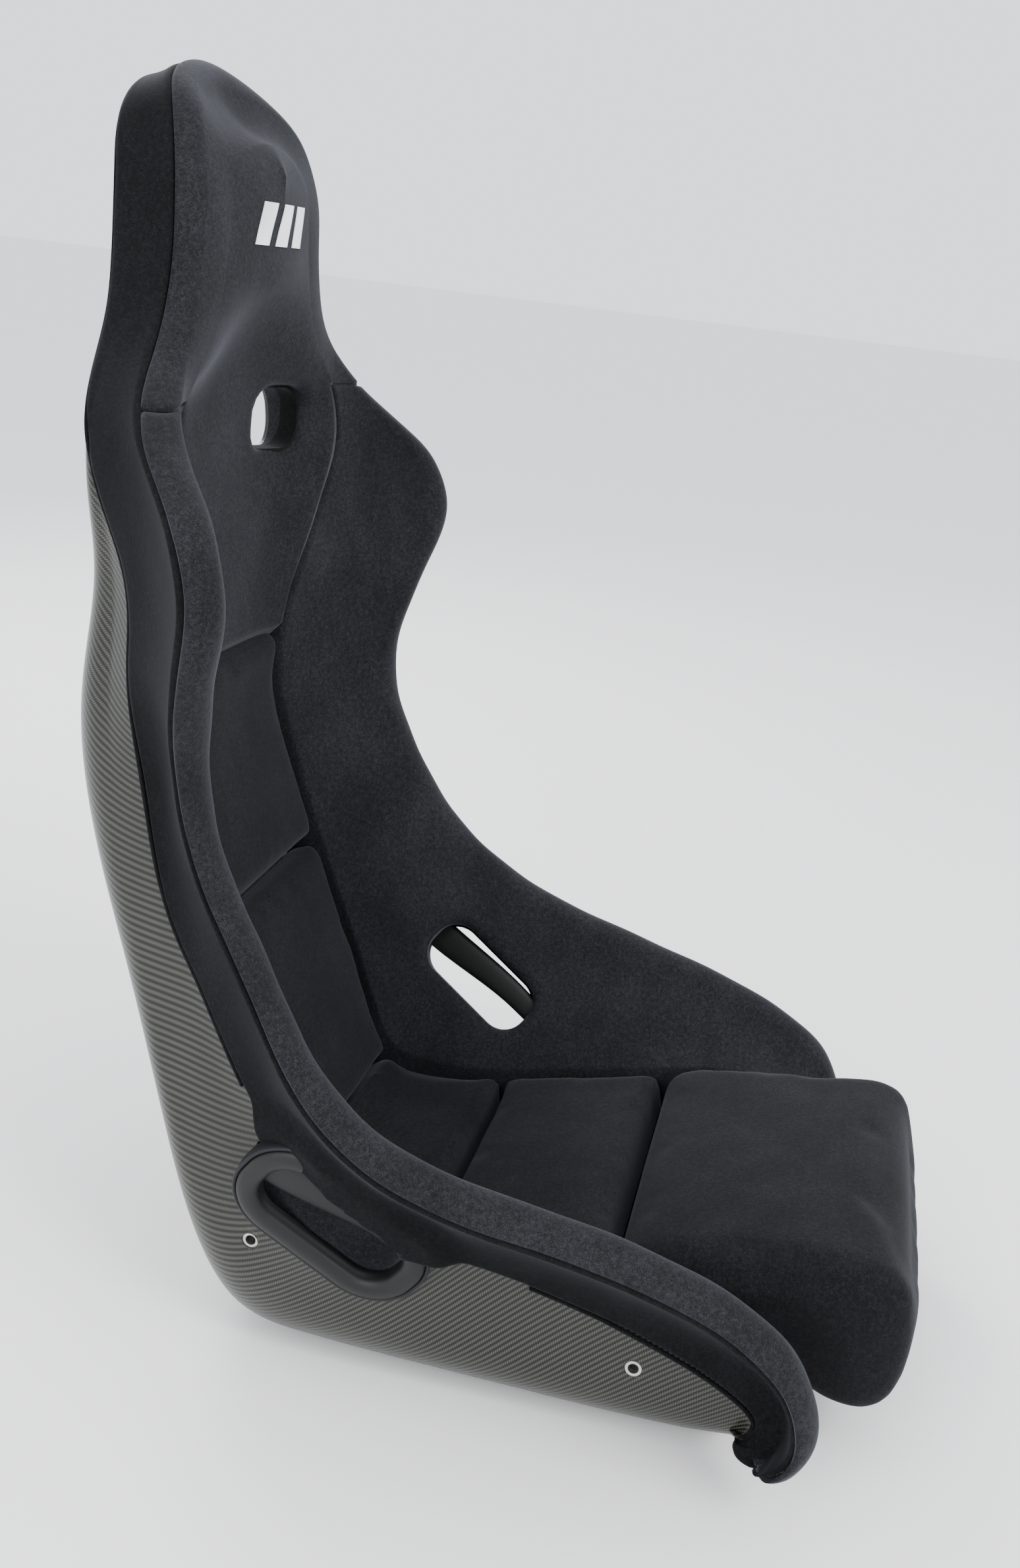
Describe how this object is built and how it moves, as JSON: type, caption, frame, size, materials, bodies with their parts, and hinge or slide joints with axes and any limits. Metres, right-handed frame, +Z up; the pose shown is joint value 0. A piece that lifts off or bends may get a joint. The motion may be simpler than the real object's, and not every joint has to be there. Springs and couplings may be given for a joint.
{
  "type": "racing seat",
  "caption": "One-piece fixed-back bucket seat: glossy twill-laminate shell, dark velour bolsters, sewn back and seat cushions, and moulded openings for harness belts.",
  "frame": {"origin": "on the floor, in the middle of the seat from side to side and front to back", "axes": "+X to the left side of the seated person, -Y the way the person faces, +Z up"},
  "size_m": [0.5738, 0.6771, 0.9205],
  "materials": {
    "carbon_laminate": "clear-coated twill laminate",
    "zinc_steel": "bright zinc plated",
    "plate_steel": "plain sheet",
    "moulded_trim": "satin black moulding",
    "gasket_rubber": "matt",
    "bridge_trim": "satin black",
    "sleeve_trim": "fabric lined moulding",
    "velour": "short-pile velour",
    "band_velour": "short-pile velour",
    "welt_cord": "sewn piping",
    "cushion_velour": "short-pile velour over foam",
    "foam": "open-cell foam",
    "hook_tape": "hook and loop tape"
  },
  "bodies": {
    "root": {"shell": "carbon_laminate", "mount_inserts": "zinc_steel", "mount_plates": "plate_steel", "lap_frame_left": "moulded_trim", "lap_frame_right": "moulded_trim", "lap_gasket_left": "gasket_rubber", "lap_gasket_right": "gasket_rubber", "lap_bridge_left": "bridge_trim", "lap_bridge_right": "bridge_trim", "shoulder_sleeve_left": "sleeve_trim", "shoulder_sleeve_right": "sleeve_trim", "crotch_sleeve": "sleeve_trim", "bolster_left": "velour", "bolster_right": "velour", "outer_band_left": "band_velour", "outer_band_right": "band_velour", "band_welt_left": "welt_cord", "band_welt_right": "welt_cord", "head_panel": "velour", "back_cushion_upper": "cushion_velour", "back_cushion_lower": "cushion_velour", "seat_cushion_rear": "cushion_velour", "seat_cushion_front": "cushion_velour", "thigh_cushion": "cushion_velour", "seat_liner": "foam", "back_liner": "foam", "back_fastener_strips": "hook_tape", "seat_fastener_strips": "hook_tape"}
  },
  "joints": []
}
